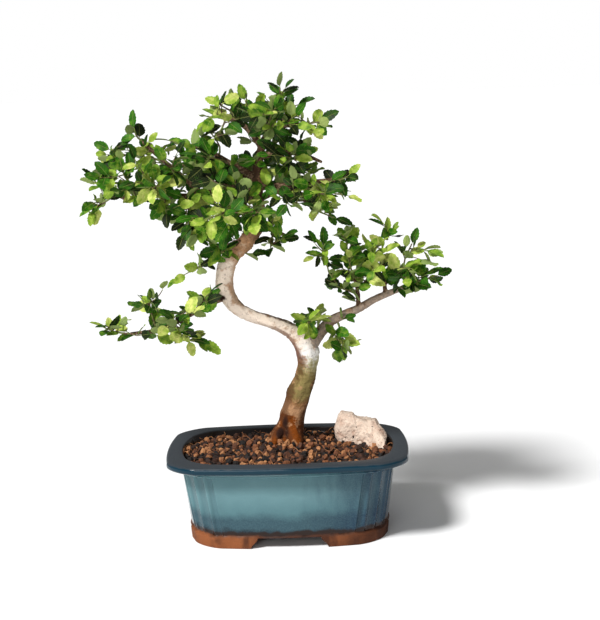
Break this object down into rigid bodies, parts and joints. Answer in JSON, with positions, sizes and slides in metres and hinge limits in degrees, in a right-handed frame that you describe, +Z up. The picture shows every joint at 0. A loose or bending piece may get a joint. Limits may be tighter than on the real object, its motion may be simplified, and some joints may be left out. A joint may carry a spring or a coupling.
{
  "type": "chinese elm bonsai",
  "caption": "Small elm tree with a double-bent trunk and leafy sprays, in a glazed rectangular tray pot with soil and a pale accent rock.",
  "frame": {"origin": "middle of the whole object's bounding box seen from above, at the height of the underside of the feet", "axes": "+Z up; +X to the right and +Y away from the viewer, in the view that shows a long side of the pot with the rock at the right"},
  "size_m": [0.3104, 0.1656, 0.3879],
  "materials": {
    "blue_glaze": "gloss",
    "clay_granules": "matte",
    "elm_bark": "matte",
    "elm_leaf": "satin",
    "pale_rock": "matte",
    "black_mesh": "matte"
  },
  "bodies": {
    "root": {"pot": "blue_glaze", "soil": "clay_granules", "tree_wood": "elm_bark", "rock": "pale_rock", "screen_left": "black_mesh", "screen_right": "black_mesh", "spray_01": "elm_leaf", "spray_02": "elm_leaf", "spray_03": "elm_leaf", "spray_04": "elm_leaf", "spray_05": "elm_leaf", "spray_06": "elm_leaf", "spray_07": "elm_leaf", "spray_08": "elm_leaf", "spray_09": "elm_leaf", "spray_10": "elm_leaf", "spray_11": "elm_leaf", "spray_12": "elm_leaf", "spray_13": "elm_leaf", "spray_14": "elm_leaf", "spray_15": "elm_leaf", "spray_16": "elm_leaf", "spray_17": "elm_leaf", "spray_18": "elm_leaf", "spray_19": "elm_leaf", "spray_20": "elm_leaf", "spray_21": "elm_leaf", "spray_22": "elm_leaf", "spray_23": "elm_leaf", "spray_24": "elm_leaf", "spray_25": "elm_leaf", "spray_26": "elm_leaf", "spray_27": "elm_leaf", "spray_28": "elm_leaf", "spray_29": "elm_leaf", "spray_30": "elm_leaf", "spray_31": "elm_leaf", "spray_32": "elm_leaf", "spray_33": "elm_leaf", "spray_34": "elm_leaf", "spray_35": "elm_leaf", "spray_36": "elm_leaf", "spray_37": "elm_leaf", "spray_38": "elm_leaf", "spray_39": "elm_leaf", "spray_40": "elm_leaf", "spray_41": "elm_leaf", "spray_42": "elm_leaf", "spray_43": "elm_leaf", "spray_44": "elm_leaf", "spray_45": "elm_leaf", "spray_46": "elm_leaf", "spray_47": "elm_leaf", "spray_48": "elm_leaf", "spray_49": "elm_leaf", "spray_50": "elm_leaf", "spray_51": "elm_leaf", "spray_52": "elm_leaf", "spray_53": "elm_leaf", "spray_54": "elm_leaf"}
  },
  "joints": []
}
